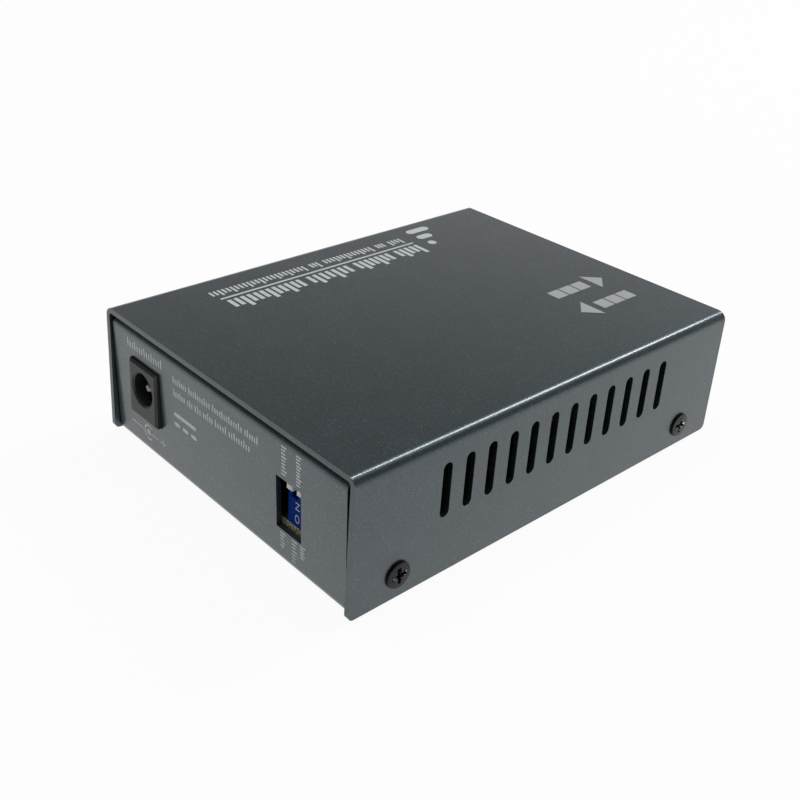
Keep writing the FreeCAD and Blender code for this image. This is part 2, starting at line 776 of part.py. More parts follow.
def make_copper_port_shield():
    """Thin shell over the moulding: top, sides, back and a frame round the mouth."""
    back = port_mouth - copper_length
    shell = centred(copper_x, copper_width, back, port_mouth, seat, seat + copper_height)
    inside = centred(copper_x, copper_width - 2 * shield_sheet, back + shield_sheet,
                     port_mouth - mouth_frame + copper_fit, seat - 1,
                     seat + copper_height - shield_sheet)
    mouth = centred(copper_x, plug_width + 2 * shield_play, port_mouth - 1, port_mouth + 1,
                    plug_low - latch_height - catch_depth, plug_high + shield_play)
    tabs = [lead(x, y, shield_sheet, shield_tab, board_low - lead_below, seat + 1)
            for x, y in shield_tab_places()]
    return shell.cut([inside, mouth]).fuse(tabs + shield_fingers()).removeSplitter()


# ---- Slot for a fibre module -------------------------------------------------------------
cage_outer_width = cage_inside_width + 2 * cage_sheet
cage_outer_height = cage_inside_height + 2 * cage_sheet
connector_front = port_mouth - cage_mouth_depth
cage_back = connector_front - module_connector_depth - cage_back_room


def cage_finger():
    """Outline of one spring finger: out from the mouth, round its bulge and back to the wall."""
    step = cage_finger_length / 4
    root = port_mouth - cage_finger_length
    return [(port_mouth, 0), (port_mouth - step, cage_finger_bulge),
            (port_mouth - 2 * step, cage_finger_bulge), (root, 0), (root, -cage_sheet),
            (port_mouth, -cage_sheet)]


def cage_fingers():
    """Spring fingers that ground the cage against the front panel's cut-out."""
    width = cage_finger_width
    high = seat + cage_outer_height
    fingers = []
    for x in centred_row(3, cage_inside_width / 3):
        left = cage_x + x - width / 2
        up = [(y, high + w) for y, w in cage_finger()]
        down = [(y, seat - w) for y, w in cage_finger()]
        fingers += [prism(up, along, V(left, 0, 0), V(width, 0, 0)),
                    prism(down, along, V(left, 0, 0), V(width, 0, 0))]
    for side in (1, -1):
        wall = cage_x + side * cage_outer_width / 2
        outline = [(wall + side * w, y) for y, w in cage_finger()]
        for z in centred_row(2, cage_inside_height / 2):
            low = seat + cage_outer_height / 2 + z - width / 2
            fingers.append(prism(outline, flat, V(0, 0, low), V(0, 0, width)))
    return fingers


def make_sfp_cage():
    """Folded cage with spring fingers, a latch hole and an open floor over its connector."""
    shell = centred(cage_x, cage_outer_width, cage_back, port_mouth, seat, seat + cage_outer_height)
    inside = centred(cage_x, cage_inside_width, cage_back + cage_sheet, port_mouth + 1,
                     seat + cage_sheet, seat + cage_sheet + cage_inside_height)
    floor_gap = centred(cage_x, module_connector_width + 4 * cage_sheet, cage_back + cage_back_room / 2,
                        connector_front + connector_step / 2, seat - 1, seat + 1)
    latch_y = port_mouth - latch_hole_back
    latch = prism([(cage_x - latch_hole / 2, latch_y), (cage_x + latch_hole / 2, latch_y),
                   (cage_x, latch_y + latch_hole)], flat, V(0, 0, seat - 1), V(0, 0, 2))
    return shell.fuse(cage_fingers()).cut([inside, floor_gap, latch])


def make_sfp_connector():
    """Card-edge connector at the cage's inner end, open towards the mouth."""
    front = connector_front
    body = centred(cage_x, module_connector_width, front - module_connector_depth, front, seat,
                   seat + module_connector_height)
    slot = centred(cage_x, card_slot_width, front - card_slot_depth, front + 1,
                   seat + card_slot_level, seat + card_slot_level + card_slot_height)
    step = centred(cage_x, module_connector_width + 1, front - connector_step, front + 1,
                   seat - 1, seat + connector_step_height)
    return body.cut([slot, step])


# ---- Indicators --------------------------------------------------------------------------
def make_led_holders():
    """Black right-angle holders at the board's front edge, one for each column."""
    middle = board_half - led_inset
    return [centred(middle + x, holder_width, board_front - holder_depth, board_front, seat,
                    seat + holder_height) for x in centred_row(led_columns, led_pitch)]


def make_indicator_leds():
    """Round flat-ended lamps that stand on their holders and look out of the front panel."""
    length = front_face + led_proud - board_front
    return [rod(led_width, (x, board_front, z), (0, 1, 0), length) for x, z in led_places()]


# ---- Chips -------------------------------------------------------------------------------
def package(x, y, width, depth, low, high):
    """Moulded body, bevelled round its top."""
    body = block(x - width / 2, x + width / 2, y - depth / 2, y + depth / 2, low, high)
    return body.makeChamfer(mould_bevel, level_edges(body, high))


def bent_lead(side, x, y, reach, height):
    """One lead: out of the body at half height and straight down to the board."""
    knee, half = reach + lead_reach, lead_section / 2
    path = [(reach - lead_root, height), (knee, height), (knee, 0)]
    outline = [(x + side * u, seat + w) for u, w in path + inset_path(path, lead_section)[::-1]]
    return prism(outline, across, V(0, y - half, 0), V(0, 2 * half, 0))


def chip(x, y, width, depth, height, leads):
    """Moulded package with a row of bent leads on both X sides."""
    body = package(x, y, width, depth, seat + body_lift, seat + height)
    rows = [bent_lead(side, x, y + offset, width / 2, height / 2) for side in (1, -1)
            for offset in centred_row(leads, lead_pitch)]
    return body.fuse(rows)


chip_x = board_half - chip_inset
chip_y = cage_back + chip_forward


def make_converter_chip():
    """Flat package without leads, soldered by the pads under it."""
    return package(chip_x, chip_y, chip_size, chip_size, seat, seat + chip_height)


def make_chip_heat_sink():
    """Extruded sink bonded on the converter chip, fins along the box."""
    low = seat + chip_height + seat_gap
    half = chip_size / 2
    base = block(chip_x - half, chip_x + half, chip_y - half, chip_y + half, low, low + sink_base)
    pitch = (chip_size - sink_fin_thickness) / (sink_fins - 1)
    fins = [centred(chip_x + x, sink_fin_thickness, chip_y - half, chip_y + half, low,
                    low + sink_height) for x in centred_row(sink_fins, pitch)]
    return base.fuse(fins).removeSplitter()


def make_memory_chip():
    return chip(chip_x, cage_back + memory_forward, memory_width, memory_depth, memory_height,
                memory_lead_count)


def make_crystal():
    """Low metal can with cut corners on its wider base flange."""
    def can(grow, high):
        half_x, half_y = crystal_length / 2 + grow, crystal_width / 2 + grow
        y = cage_back - crystal_behind
        body = block(chip_x - half_x, chip_x + half_x, y - half_y, y + half_y, seat, high)
        return body.makeChamfer(crystal_corner, upright_edges(body, high - seat))
    flange = can(crystal_flange, seat + crystal_flange_height)
    return flange.fuse(can(0, seat + crystal_height)).removeSplitter()


def make_lan_transformer():
    y = port_mouth - copper_length - lan_gap - lan_length / 2
    return chip(copper_x, y, lan_width, lan_length, lan_height, lan_lead_count)


def make_feed_chip():
    return chip(board_half - feed_chip_inset, board_rear + feed_chip_y, feed_chip_width,
                feed_chip_length, feed_chip_height, feed_lead_count)


# ---- Power parts -------------------------------------------------------------------------
def make_input_fuse():
    """Square ceramic body between two metal end caps."""
    y = board_rear + fuse_y
    half = fuse_length / 2
    step = (fuse_cap - fuse_body) / 2
    body = centred(fuse_x, fuse_body, y - half, y + half, seat + step, seat + step + fuse_body)
    caps = [centred(fuse_x, fuse_cap, start, start + fuse_cap_length, seat, seat + fuse_cap)
            for start in (y - half, y + half - fuse_cap_length)]
    return body.fuse(caps).removeSplitter()


def filter_capacitor(x, y):
    """Aluminium can, upright on the board."""
    return rod(capacitor_width, (x, board_rear + y, seat), (0, 0, 1), capacitor_height)


def make_common_mode_choke():
    """Wound ring lying on the board."""
    place = (choke_x, board_rear + choke_y, seat)
    ring = rod(choke_width, place, (0, 0, 1), choke_height)
    return ring.cut(rod(choke_hole, place, (0, 0, 1), choke_height))


def make_power_inductor():
    """Shielded inductor: square with cut corners, its round drum showing on top."""
    half = inductor_size / 2
    x, y, high = inductor_x, board_rear + inductor_y, seat + inductor_height
    body = block(x - half, x + half, y - half, y + half, seat, high)
    body = body.makeChamfer(inductor_corner, upright_edges(body, inductor_height))
    drum = rod(inductor_drum, (x, y, high), (0, 0, 1), inductor_drum_height)
    return body.fuse(drum)


def make_power_transistor():
    """Flat package with its metal tab and two legs."""
    x, y = transistor_x, board_rear + transistor_y
    front, rear = y + transistor_length / 2, y - transistor_length / 2
    body = centred(x, transistor_width, rear, front, seat, seat + transistor_height)
    tab = centred(x, transistor_tab, front, front + transistor_tab_length, seat,
                  seat + tab_thickness)
    legs = [centred(x + u, transistor_leg, rear - transistor_leg_length, rear, seat,
                    seat + tab_thickness) for u in centred_row(2, transistor_leg_pitch)]
    return body.fuse([tab] + legs).removeSplitter()


def make_transformer_bobbin():
    """Moulded base with the winding drum that the core closes over."""
    half = transformer_size / 2
    x, y = transformer_x, board_rear + transformer_y
    base = block(x - half, x + half, y - half, y + half, seat, seat + bobbin_base)
    drum_high = seat + transformer_height - core_top - drum_play
    drum = rod(drum_width, (x, y, seat + bobbin_base), (0, 0, 1), drum_high - seat - bobbin_base)
    return base.fuse(drum)


def make_transformer_core():
    """Ferrite core: top plate and two legs over the winding drum."""
    x, y = transformer_x, board_rear + transformer_y
    half_x = transformer_size / 2 - core_side_step
    half_y = transformer_size / 2 - core_end_step
    low, high = seat + bobbin_base + seat_gap, seat + transformer_height
    core = block(x - half_x, x + half_x, y - half_y, y + half_y, low, high)
    room = rod(drum_width + 2 * drum_play, (x, y, low - 1), (0, 0, 1), high - core_top - low + 1)
    way = centred(x, drum_width / 2, y - half_y - 1, y + half_y + 1, low - 1, high - core_top)
    return core.cut([room, way])


def ceramic_capacitor_places():
    """Three beside the line transformer, three round the isolation transformer, one by the crystal."""
    left = (-board_half + copper_x - lan_width / 2 - lead_reach) / 2
    line = port_mouth - copper_length - lan_gap - lan_length / 2
    beside = chip_x + crystal_length / 2 + crystal_flange + ceramic_gap
    power = board_rear + transformer_y + transformer_size / 2 + ceramic_gap
    places = [(left, line + y) for y in centred_row(3, ceramic_pitch)]
    places += [(transformer_x + x, power) for x in centred_row(2, ceramic_pitch)]
    places += [(beside, cage_back - crystal_behind),
               (transformer_x, board_rear + transformer_y - transformer_size / 2 - ceramic_gap)]
    return places


def make_ceramic_capacitors():
    half = ceramic_length / 2
    return [centred(x, ceramic_width, y - half, y + half, seat, seat + ceramic_height)
            for x, y in ceramic_capacitor_places()]


# ---- Assembly ----------------------------------------------------------------------------
def all_pieces():
    """Every node of the part, as a name and the solid or like solids that it holds."""
    rear_slider, near_slider = [dip_slider(x) for x in slider_columns()]
    return {
        "cover": make_cover(),
        "base_tray": make_base_tray(),
        "cover_screws": make_cover_screws(),
        "circuit_board": make_circuit_board(),
        "board_standoffs": make_board_standoffs(),
        "board_screws": make_board_screws(),
        "power_jack_housing": make_power_jack_housing(),
        "power_jack_pin": make_power_jack_pin(),
        "power_jack_spring": make_power_jack_spring(),
        "dip_switch_body": make_dip_switch_body(),
        "dip_slider_1": rear_slider,
        "dip_slider_2": near_slider,
        "dip_switch_pins": make_dip_switch_pins(),
        "copper_port_housing": make_copper_port_housing(),
        "copper_port_shield": make_copper_port_shield(),
        "copper_port_contacts": make_copper_port_contacts(),
        "sfp_cage": make_sfp_cage(),
        "sfp_connector": make_sfp_connector(),
        "led_holders": make_led_holders(),
        "indicator_leds": make_indicator_leds(),
        "converter_chip": make_converter_chip(),
        "chip_heat_sink": make_chip_heat_sink(),
        "memory_chip": make_memory_chip(),
        "crystal": make_crystal(),
        "lan_transformer": make_lan_transformer(),
        "pse_controller_chip": make_feed_chip(),
        "ceramic_capacitors": make_ceramic_capacitors(),
        "input_fuse": make_input_fuse(),
        "filter_capacitors": [filter_capacitor(x, y) for x, y in capacitor_places],
        "common_mode_choke": make_common_mode_choke(),
        "power_inductor": make_power_inductor(),
        "power_transistor": make_power_transistor(),
        "isolation_transformer_bobbin": make_transformer_bobbin(),
        "isolation_transformer_core": make_transformer_core(),
    }


os.makedirs("parts", exist_ok=True)
for node, piece in all_pieces().items():
    shape = Part.makeCompound(piece) if isinstance(piece, list) else piece
    shape.exportStep(f"parts/{node}.step")
    print(node, len(shape.Solids), shape.isValid(), round(shape.Volume, 2))
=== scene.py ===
import math

import bmesh
import bpy
from mathutils import Matrix, Vector


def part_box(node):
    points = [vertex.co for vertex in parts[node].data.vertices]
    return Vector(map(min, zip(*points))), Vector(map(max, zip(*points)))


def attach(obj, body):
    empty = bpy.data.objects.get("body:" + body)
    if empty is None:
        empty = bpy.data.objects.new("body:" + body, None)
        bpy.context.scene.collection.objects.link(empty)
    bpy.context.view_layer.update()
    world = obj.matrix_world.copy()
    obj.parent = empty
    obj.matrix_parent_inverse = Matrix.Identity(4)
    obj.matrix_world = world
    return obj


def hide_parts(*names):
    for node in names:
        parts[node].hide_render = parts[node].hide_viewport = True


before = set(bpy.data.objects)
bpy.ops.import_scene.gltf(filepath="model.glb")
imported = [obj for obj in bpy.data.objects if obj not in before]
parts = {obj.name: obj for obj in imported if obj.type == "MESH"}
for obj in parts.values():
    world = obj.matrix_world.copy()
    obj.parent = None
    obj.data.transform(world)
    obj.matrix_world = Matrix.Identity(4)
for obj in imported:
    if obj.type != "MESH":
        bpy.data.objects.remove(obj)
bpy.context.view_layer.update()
mm = 0.001


# ---- Cover and tray ----------------------------------------------------------------------
# Two sheets of 1 mm steel, cut, folded and then sprayed with one dark grey metallic powder coat.
# The coat is satin, with fine bright flakes and a faint orange peel. It covers every edge. On the
# cover, the faces that face along the box's length, such as the cut edges at its two ends, are
# painted darker: painted shade.
def new_material(name, metal, rough):
    """A new material, with its nodes, links and shader and the object's own coordinates."""
    material = bpy.data.materials.new(name)
    material.use_nodes = True
    nodes, links = material.node_tree.nodes, material.node_tree.links
    shader = nodes["Principled BSDF"]
    shader.inputs["Metallic"].default_value = metal
    shader.inputs["Roughness"].default_value = rough
    place = nodes.new("ShaderNodeTexCoord").outputs["Object"]
    return material, nodes, links, shader, place


def add_noise(nodes, links, place, grain, detail=2.0):
    """Noise whose blotches are about one grain across, in metres."""
    noise = nodes.new("ShaderNodeTexNoise")
    noise.inputs["Scale"].default_value = 1 / grain
    noise.inputs["Detail"].default_value = detail
    links.new(place, noise.inputs["Vector"])
    return noise.outputs["Fac"]


def add_ramp(nodes, links, value, stops):
    """Colours or greys along a value: stops are (place, colour) pairs."""
    ramp = nodes.new("ShaderNodeValToRGB")
    ends = ramp.color_ramp.elements
    while len(ends) < len(stops):
        ends.new(0.5)
    for end, (at, colour) in zip(ends, stops):
        end.position = at
        end.color = (*colour, 1) if isinstance(colour, tuple) else (colour, colour, colour, 1)
    links.new(value, ramp.inputs["Fac"])
    return ramp.outputs["Color"]


def add_relief(nodes, links, shader, height, depth, before=None):
    """Bumps of a true depth, in metres."""
    bump = nodes.new("ShaderNodeBump")
    bump.inputs["Distance"].default_value = depth
    links.new(height, bump.inputs["Height"])
    if before is not None:
        links.new(before, bump.inputs["Normal"])
    links.new(bump.outputs["Normal"], shader.inputs["Normal"])
    return bump.outputs["Normal"]


def paint(name, finish):
    """Gives a node of the frame its finish."""
    for slot in parts[name].material_slots:
        slot.material = finish


def multiplied(nodes, links, one, other):
    """One colour times another."""
    product = nodes.new("ShaderNodeMix")
    product.data_type, product.blend_type = "RGBA", "MULTIPLY"
    product.inputs["Factor"].default_value = 1
    links.new(one, product.inputs["A"])
    links.new(other, product.inputs["B"])
    return product.outputs["Result"]


def facing(nodes, links, axis):
    """How squarely a surface faces along an axis of the box, either way, from 0 to 1."""
    normal = nodes.new("ShaderNodeSeparateXYZ")
    links.new(nodes.new("ShaderNodeNewGeometry").outputs["True Normal"], normal.inputs["Vector"])
    either_way = nodes.new("ShaderNodeMath")
    either_way.operation = "ABSOLUTE"
    links.new(normal.outputs[axis], either_way.inputs[0])
    return either_way.outputs[0]


coat_grey = (0.058, 0.078, 0.087)
coat_dark = (0.051, 0.070, 0.079)
coat_flake = (0.165, 0.19, 0.20)
coat_metal = 0.8
coat_rough_low, coat_rough, coat_rough_high = 0.38, 0.42, 0.46
lacquer_share = 0.55
lacquer_rough = 0.13
flake_size = 0.13 * mm
flake_depth = 0.0006 * mm
peel_size = 0.5 * mm
peel_depth = 0.006 * mm
cloud_size = 7 * mm
# Painted shade: how dark the faces that face along the box's length are painted.
edge_painted_shade = 0.7


def metallic_coat(name, painted_shade_on_edges):
    """The coat, which may have painted shade: darker on the faces that face along the box's length,
    such as the cut edges at a sheet's two ends.
    """
    material, nodes, links, shader, place = new_material(name, coat_metal, coat_rough)
    shader.inputs["Coat Weight"].default_value = lacquer_share
    shader.inputs["Coat Roughness"].default_value = lacquer_rough
    flakes = nodes.new("ShaderNodeTexVoronoi")
    flakes.inputs["Scale"].default_value = 1 / flake_size
    links.new(place, flakes.inputs["Vector"])
    pick = nodes.new("ShaderNodeSeparateColor")
    links.new(flakes.outputs["Color"], pick.inputs["Color"])
    sparkle = add_ramp(nodes, links, pick.outputs["Red"],
                       [(0.0, coat_dark), (0.6, coat_grey), (0.94, coat_grey), (0.99, coat_flake)])
    cloud = add_ramp(nodes, links, add_noise(nodes, links, place, cloud_size),
                     [(0.3, 0.95), (0.7, 1.05)])
    tone = multiplied(nodes, links, sparkle, cloud)
    # Painted shade on the faces that face along the box's length.
    if painted_shade_on_edges:
        cut = add_ramp(nodes, links, facing(nodes, links, "Y"),
                       [(0.9, 1.0), (0.98, edge_painted_shade)])
        tone = multiplied(nodes, links, tone, cut)
    links.new(tone, shader.inputs["Base Color"])
    links.new(add_ramp(nodes, links, pick.outputs["Green"],
                       [(0.0, coat_rough_low), (1.0, coat_rough_high)]),
              shader.inputs["Roughness"])
    peel = add_relief(nodes, links, shader, add_noise(nodes, links, place, peel_size), peel_depth)
    add_relief(nodes, links, shader, pick.outputs["Blue"], flake_depth, peel)
    return material


paint("cover", metallic_coat("cover_coat_dark_grey", True))
paint("base_tray", metallic_coat("tray_coat_dark_grey", False))


# ---- Cover screws ------------------------------------------------------------------------
# Four M3 screws with a cross recess in a nearly flat head on a tall rim, cold headed, rolled and
# then given a black oxide finish. They go through the cover's side walls into the tray's tapped
# side flanges. Their recesses have flecks of bright steel painted in, as painted glints.
gloss_shade = 0.12


def plain_finish(name, colour, rough, metal=0.0, grain=0.3 * mm, shade=0.15, depth=0.004 * mm,
                 shine=0.5):
    """A material whose tone, gloss and relief vary a little with one fine grain."""
    material, nodes, links, shader, place = new_material(name, metal, rough)
    shader.inputs["Specular IOR Level"].default_value = shine
    grains = add_noise(nodes, links, place, grain)
    low = tuple(c * (1 - shade) for c in colour)
    high = tuple(c * (1 + shade) for c in colour)
    links.new(add_ramp(nodes, links, grains, [(0.3, low), (0.7, high)]),
              shader.inputs["Base Color"])
    links.new(add_ramp(nodes, links, grains, [(0.3, rough * (1 - gloss_shade)),
                                              (0.7, rough * (1 + gloss_shade))]),
              shader.inputs["Roughness"])
    add_relief(nodes, links, shader, grains, depth)
    return material


black_oxide = plain_finish("black_oxide", (0.020, 0.022, 0.023), 0.28, metal=0.9)
recess_oxide = (0.015, 0.016, 0.017)
# Painted glints: the bright steel of the flecks painted in the screws' recesses.
glint_steel = (0.62, 0.62, 0.61)
fleck_size = 0.5 * mm
fleck_depth = 0.05 * mm


def painted_glint_finish():
    """The same oxide, with flecks of bright steel painted in as painted glints."""
    material, nodes, links, shader, place = new_material("recess_painted_glints", 1.0, 0.3)
    flecks = add_noise(nodes, links, place, fleck_size, 1)
    links.new(add_ramp(nodes, links, flecks, [(0.55, recess_oxide), (0.62, glint_steel)]),
              shader.inputs["Base Color"])
    add_relief(nodes, links, shader, flecks, fleck_depth)
    return material


recess_painted_glints = painted_glint_finish()

# One head is drawn in millimetres about its own axis, then scaled to metres and set in its places.
head_radius = 2.43
head_rim = 0.36
head_shoulder = 0.15
shoulder_rise = 0.08
head_crown = 0.1
recess_reach = 1.7
recess_deep = 0.95
recess_half_width = 0.48
recess_foot_reach = 0.45 * recess_reach
recess_foot_half_width = 0.3 * recess_half_width
cutter_spare = 0.2
seat_skin = 0.001
recess_skin = 0.03
crown_rings = 8
head_facets = 64
weld_distance = 1e-4


def new_piece(name, shape, body, finish):
    """Turns a bmesh into a piece that rides on a body."""
    mesh = bpy.data.meshes.new(name)
    shape.to_mesh(mesh)
    shape.free()
    mesh.materials.append(finish)
    piece = bpy.data.objects.new(name, mesh)
    bpy.context.scene.collection.objects.link(piece)
    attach(piece, body)
    return piece


def head_height(r):
    """Height of the head's face at a radius: a small shoulder round a slightly crowned top."""
    shoulder = min(1, (head_radius - r) / head_shoulder)
    return head_rim + shoulder_rise * shoulder + head_crown * (1 - (r / head_radius) ** 2)


def screw_head():
    """Rim, shoulder and crowned top turned round Z, with the seat at zero."""
    shape = bmesh.new()
    radii = [(head_radius - head_shoulder) * (1 - i / crown_rings) for i in range(crown_rings + 1)]
    profile = [(0.0, 0.0), (head_radius, 0.0), (head_radius, head_rim)]
    profile += [(r, head_height(r)) for r in radii]
    ring = [shape.verts.new((r, 0, z)) for r, z in profile]
    edges = [shape.edges.new(pair) for pair in zip(ring, ring[1:])]
    bmesh.ops.spin(shape, geom=ring + edges, cent=(0, 0, 0), axis=(0, 0, 1), angle=2 * math.pi,
                   steps=head_facets, use_merge=True)
    bmesh.ops.remove_doubles(shape, verts=shape.verts, dist=weld_distance)
    bmesh.ops.recalc_face_normals(shape, faces=shape.faces)
    return shape


def cross_cutter():
    """Two crossed tapering wings that leave the cross recess."""
    shape = bmesh.new()
    mouth = (recess_reach, recess_half_width, head_height(0) + cutter_spare)
    foot = (recess_foot_reach, recess_foot_half_width, head_height(0) - recess_deep)
    for turn in (0, math.pi / 2):
        wing = bmesh.ops.create_cube(shape, size=1)["verts"]
        for v in wing:
            reach, half_width, height = mouth if v.co.z > 0 else foot
            v.co = Vector((2 * v.co.x * reach, 2 * v.co.y * half_width, height))
        bmesh.ops.rotate(shape, verts=wing, matrix=Matrix.Rotation(turn, 3, "Z"))
    return shape


def loose(name, shape):
    """Turns a bmesh into an object that rides on nothing yet."""
    mesh = bpy.data.meshes.new(name)
    shape.to_mesh(mesh)
    shape.free()
    thing = bpy.data.objects.new(name, mesh)
    bpy.context.scene.collection.objects.link(thing)
    return thing


def cut_mesh(blank, cutter):
    """The blank's mesh with the cutter taken out of it."""
    carve = blank.modifiers.new("cut", "BOOLEAN")
    carve.operation, carve.solver, carve.object = "DIFFERENCE", "EXACT", cutter
    carve.use_self = True
    bpy.context.view_layer.update()
    seen = blank.evaluated_get(bpy.context.evaluated_depsgraph_get())
    mesh = bpy.data.meshes.new_from_object(seen)
    for thing in (blank, cutter):
        bpy.data.objects.remove(thing)
    return mesh


def in_recess(centre):
    """True inside the cross recess: under the head's face, and within its reach."""
    out = math.hypot(centre.x, centre.y)
    above_seat = centre.z > seat_skin
    under_face = centre.z < head_height(out) - recess_skin
    return out < recess_reach and above_seat and under_face


head_mesh = cut_mesh(loose("head_blank", screw_head()), loose("head_cutter", cross_cutter()))
head_mesh.materials.clear()
head_mesh.materials.append(black_oxide)
head_mesh.materials.append(recess_painted_glints)
for face in head_mesh.polygons:
    face.material_index = 1 if in_recess(face.center) else 0
head_mesh.transform(Matrix.Scale(mm, 4))
screws_low, screws_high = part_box("cover_screws")
cover_low, cover_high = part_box("cover")
head_reach = (screws_high.z - screws_low.z) / 2
screw_ends = {"rear": screws_low.y + head_reach, "front": screws_high.y - head_reach}
heads = bmesh.new()
for side, end, recess_turn in ((1, "rear", 7), (1, "front", -6), (-1, "rear", 34), (-1, "front", 61)):
    outwards = Matrix.Rotation(side * math.pi / 2, 4, "Y")
    lie = outwards @ Matrix.Rotation(math.radians(recess_turn), 4, "Z")
    seat = (side * cover_high.x, screw_ends[end], (screws_low.z + screws_high.z) / 2)
    spot = Matrix.Translation(seat) @ lie
    head_mesh.transform(spot)
    heads.from_mesh(head_mesh)
    head_mesh.transform(spot.inverted())
cover_screw_heads = new_piece("cover_screw_heads", heads, "housing", black_oxide)
cover_screw_heads.data.materials.append(recess_painted_glints)
for face in cover_screw_heads.data.polygons:
    face.use_smooth = True
sharp_edge = math.radians(20)
crisp = cover_screw_heads.modifiers.new("edges", "EDGE_SPLIT")
crisp.split_angle = sharp_edge
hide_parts("cover_screws")


# ---- Print on the panels and the cover ---------------------------------------------------
# Screen printed, 0.02 mm thick, after the coat was cured: pale grey on both end panels and a duller
# grey on the cover. Rows of dashes stand where wording would be, beside the jack's polarity mark,
# a direct current mark and a rising row of bars.
ink = plain_finish("pale_grey_ink", (0.62, 0.65, 0.65), 0.6, grain=0.2 * mm, shade=0.1)
cover_ink = plain_finish("grey_ink", (0.51, 0.54, 0.54), 0.6, grain=0.2 * mm, shade=0.1)
ink_lift = 0.02 * mm

panel_lean = math.radians(2.0)
panel_recess = 1.2 * mm
panel_foot = cover_low.y + panel_recess


def on_rear(u, w):
    """Point on the rear panel's printed face: u across the box, w up, in millimetres."""
    out = ink_lift / math.cos(panel_lean)
    return Vector((u * mm, panel_foot - math.tan(panel_lean) * w * mm - out, w * mm))


def on_top(u, w):
    """Point on the cover's top: u across the box, w towards its front, in millimetres."""
    return Vector((u * mm, w * mm, cover_high.z + ink_lift))


def add_patch(shape, outline, surface):
    """One flat printed patch."""
    return shape.faces.new([shape.verts.new(surface(*p)) for p in outline])


def turned(points, u, w, angle):
    """An outline turned by an angle and moved to (u, w)."""
    c, s = math.cos(math.radians(angle)), math.sin(math.radians(angle))
    return [(u + x * c - y * s, w + x * s + y * c) for x, y in points]


def bar(u, w, length, thick, angle=0.0):
    """Outline of a bar with round ends, about its middle."""
    radius = thick / 2
    points = []
    for end, start in ((1, -90), (-1, 90)):
        for step in range(0, 181, 30):
            a = math.radians(start + step)
            points.append((end * (length / 2 - radius) + radius * math.cos(a),
                           radius * math.sin(a)))
    return turned(points, u, w, angle)


def add_words(shape, surface, u, w, lengths, tall, stroke, pitch, gap=0.0, angle=0.0):
    """Words as rows of upright dashes of uneven height, which stand on a line from (u, w)."""
    dash_heights = (1.0, 0.72, 0.74, 0.96, 0.72, 0.74, 0.72)
    start, count = 0.0, 0
    for length in lengths:
        dashes = max(2, round((length - stroke) / pitch) + 1)
        for i in range(dashes):
            left = start + (length - stroke) * i / (dashes - 1)
            right = left + stroke
            top = tall * dash_heights[count % len(dash_heights)]
            outline = [(left, 0), (right, 0), (right, top), (left, top)]
            add_patch(shape, turned(outline, u, w, angle), surface)
            count += 1
        start += length + gap


def add_arc(shape, surface, u, w, radius, thick, first, last):
    """A curved stroke, as a strip of short patches."""
    steps = 24
    angles = [math.radians(first + (last - first) * i / steps) for i in range(steps + 1)]
    inner, outer = [[shape.verts.new(surface(u + r * math.cos(a), w + r * math.sin(a)))
                     for a in angles] for r in (radius - thick / 2, radius + thick / 2)]
    for i in range(steps):
        shape.faces.new((inner[i], outer[i], outer[i + 1], inner[i + 1]))


def middle_u(node):
    """Where a part's middle lies across the box, in millimetres."""
    low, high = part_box(node)
    return (low.x + high.x) / 2 / mm


jack_letters = {"tall": 1.75, "stroke": 0.34, "pitch": 0.78}
panel_letters = {"tall": 1.5, "stroke": 0.33, "pitch": 0.66, "gap": 0.75}
switch_letters = {"tall": 1.35, "stroke": 0.3, "pitch": 0.62, "angle": -90}

rear_print = bmesh.new()
jack_u = middle_u("power_jack_housing")
add_words(rear_print, on_rear, jack_u - 5.7, 20.6, (11.5,), **jack_letters)

# The jack's mark: a bar to an open ring, a dot in the ring, and a bar to a plus sign.
mark_w = 4.6
mark_line = 0.32
ring_u = jack_u - 0.2
plus_u = jack_u + 4.7
add_patch(rear_print, bar(jack_u - 3.9, mark_w, 4.5, mark_line), on_rear)
add_arc(rear_print, on_rear, ring_u, mark_w, 1.45, 0.4, 50, 310)
add_patch(rear_print, bar(ring_u, mark_w, 1.5, 1.3), on_rear)
add_patch(rear_print, bar(jack_u + 1.6, mark_w, 3.2, mark_line), on_rear)
for angle in (0, 90):
    add_patch(rear_print, bar(plus_u, mark_w, 1.9, 0.36, angle), on_rear)

lines_u = -13.7
for line_w, lengths in ((19.6, (4.2, 6.4, 8.4, 3.6)), (17.0, (3.6, 1.6, 1.8, 2.8, 3.2, 5.8))):
    add_words(rear_print, on_rear, lines_u, line_w, lengths, **panel_letters)

# The direct current mark: a long bar over three short ones.
current_u, current_w = -10.4, 12.3
current_line = 0.8
add_patch(rear_print, bar(current_u, current_w + 1.0, 7.0, current_line), on_rear)
for offset in (-2.6, 0, 2.6):
    add_patch(rear_print, bar(current_u + offset, current_w - 1.0, 1.8, current_line), on_rear)

# Five short columns of dashes, two over the switch's window and three under it, read downwards.
switch_low, switch_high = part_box("dip_switch_body")
switch_u = middle_u("dip_switch_body")
for offset, head_w, length in ((-2.65, 22.9, 5.4), (1.05, 23.0, 5.6), (-3.15, 6.2, 2.9),
                               (-0.15, 6.3, 4.3), (1.95, 6.4, 2.5)):
    add_words(rear_print, on_rear, switch_u + offset, head_w, (length,), **switch_letters)
new_piece("rear_panel_print", rear_print, "housing", ink)


front_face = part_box("base_tray")[1].y


def on_front(u, w):
    """Point on the front panel: u to the right as it is faced, w up, in millimetres."""
    return Vector((-u * mm, front_face + ink_lift, w * mm))


front_letters = {"tall": 1.2, "stroke": 0.24, "pitch": 0.62, "gap": 0.75}
front_print = bmesh.new()
for u, w, lengths in ((-28.9, 18.4, (3.4, 3.6)), (-28.9, 7.1, (3.2, 4.0)), (-8.9, 19.3, (3.0, 5.4)),
                      (11.6, 22.4, (2.8, 1.8, 4.2))):
    add_words(front_print, on_front, u, w, lengths, **front_letters)
new_piece("front_panel_print", front_print, "housing", ink)

